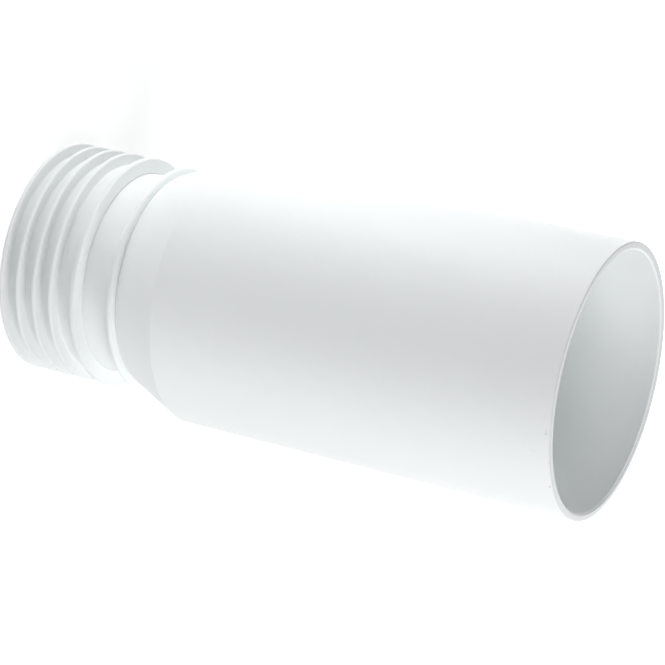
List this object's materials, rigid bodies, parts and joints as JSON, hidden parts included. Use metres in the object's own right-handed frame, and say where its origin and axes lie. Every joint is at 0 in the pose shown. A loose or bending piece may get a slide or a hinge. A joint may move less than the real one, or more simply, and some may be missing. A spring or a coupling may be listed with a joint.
{
  "type": "toilet pan connector",
  "caption": "Straight white waste connector: a plain open tube that narrows through a cone and beaded neck to a spigot with a soft finned push-in seal.",
  "frame": {"origin": "centre of the finned end, on the plane that the connector stands on", "axes": "+Z along the tube's axis, from the finned end up to the open mouth; X and Y are any pair square to it, as every section is round"},
  "size_m": [0.11, 0.11, 0.249],
  "materials": {
    "white_plastic": "satin",
    "white_rubber": "matte"
  },
  "bodies": {
    "root": {"connector_body": "white_plastic", "fin_seal": "white_rubber"}
  },
  "joints": []
}
